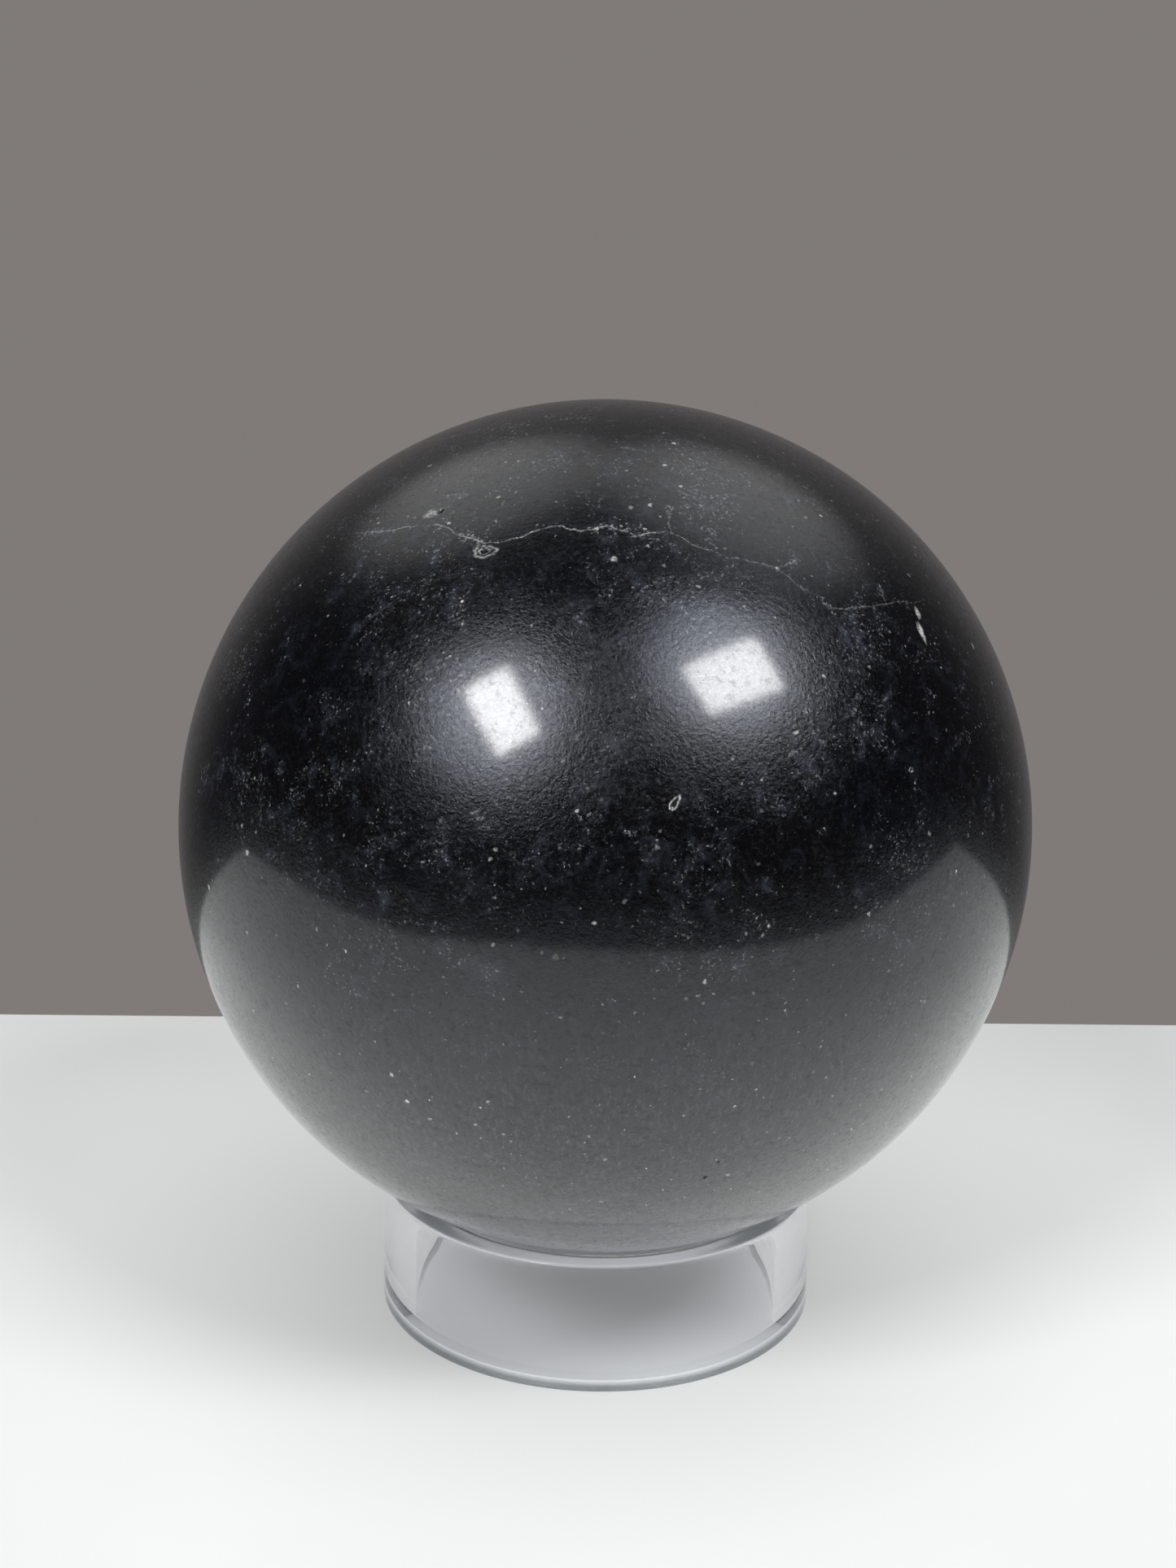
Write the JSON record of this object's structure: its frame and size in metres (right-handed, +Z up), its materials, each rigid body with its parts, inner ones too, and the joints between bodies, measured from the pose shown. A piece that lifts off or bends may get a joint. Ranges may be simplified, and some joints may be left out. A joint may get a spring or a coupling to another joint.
{
  "type": "stone sphere on ring stand",
  "caption": "Polished black stone ball resting loose on a low, clear plastic ring stand; a display piece that lifts off its ring.",
  "frame": {"origin": "centre of the ring's footprint, on the surface that it stands on", "axes": "+Z up through the middle of the ring and the ball, -Y towards the viewer, +X to the viewer's right"},
  "size_m": [0.096, 0.096, 0.1059],
  "materials": {
    "clear_plastic": "clear, glossy walls with a slightly milky top edge",
    "black_stone": "high polish with pale specks, a fine white vein and a few small pits"
  },
  "bodies": {
    "stand": {"ring_stand": "clear_plastic"},
    "ball": {"stone_ball": "black_stone"}
  },
  "joints": [
    {"name": "ball_lift", "type": "slide", "parent": "stand", "child": "ball", "axis": [0, 0, 1], "range_m": [0, 0.04]}
  ]
}
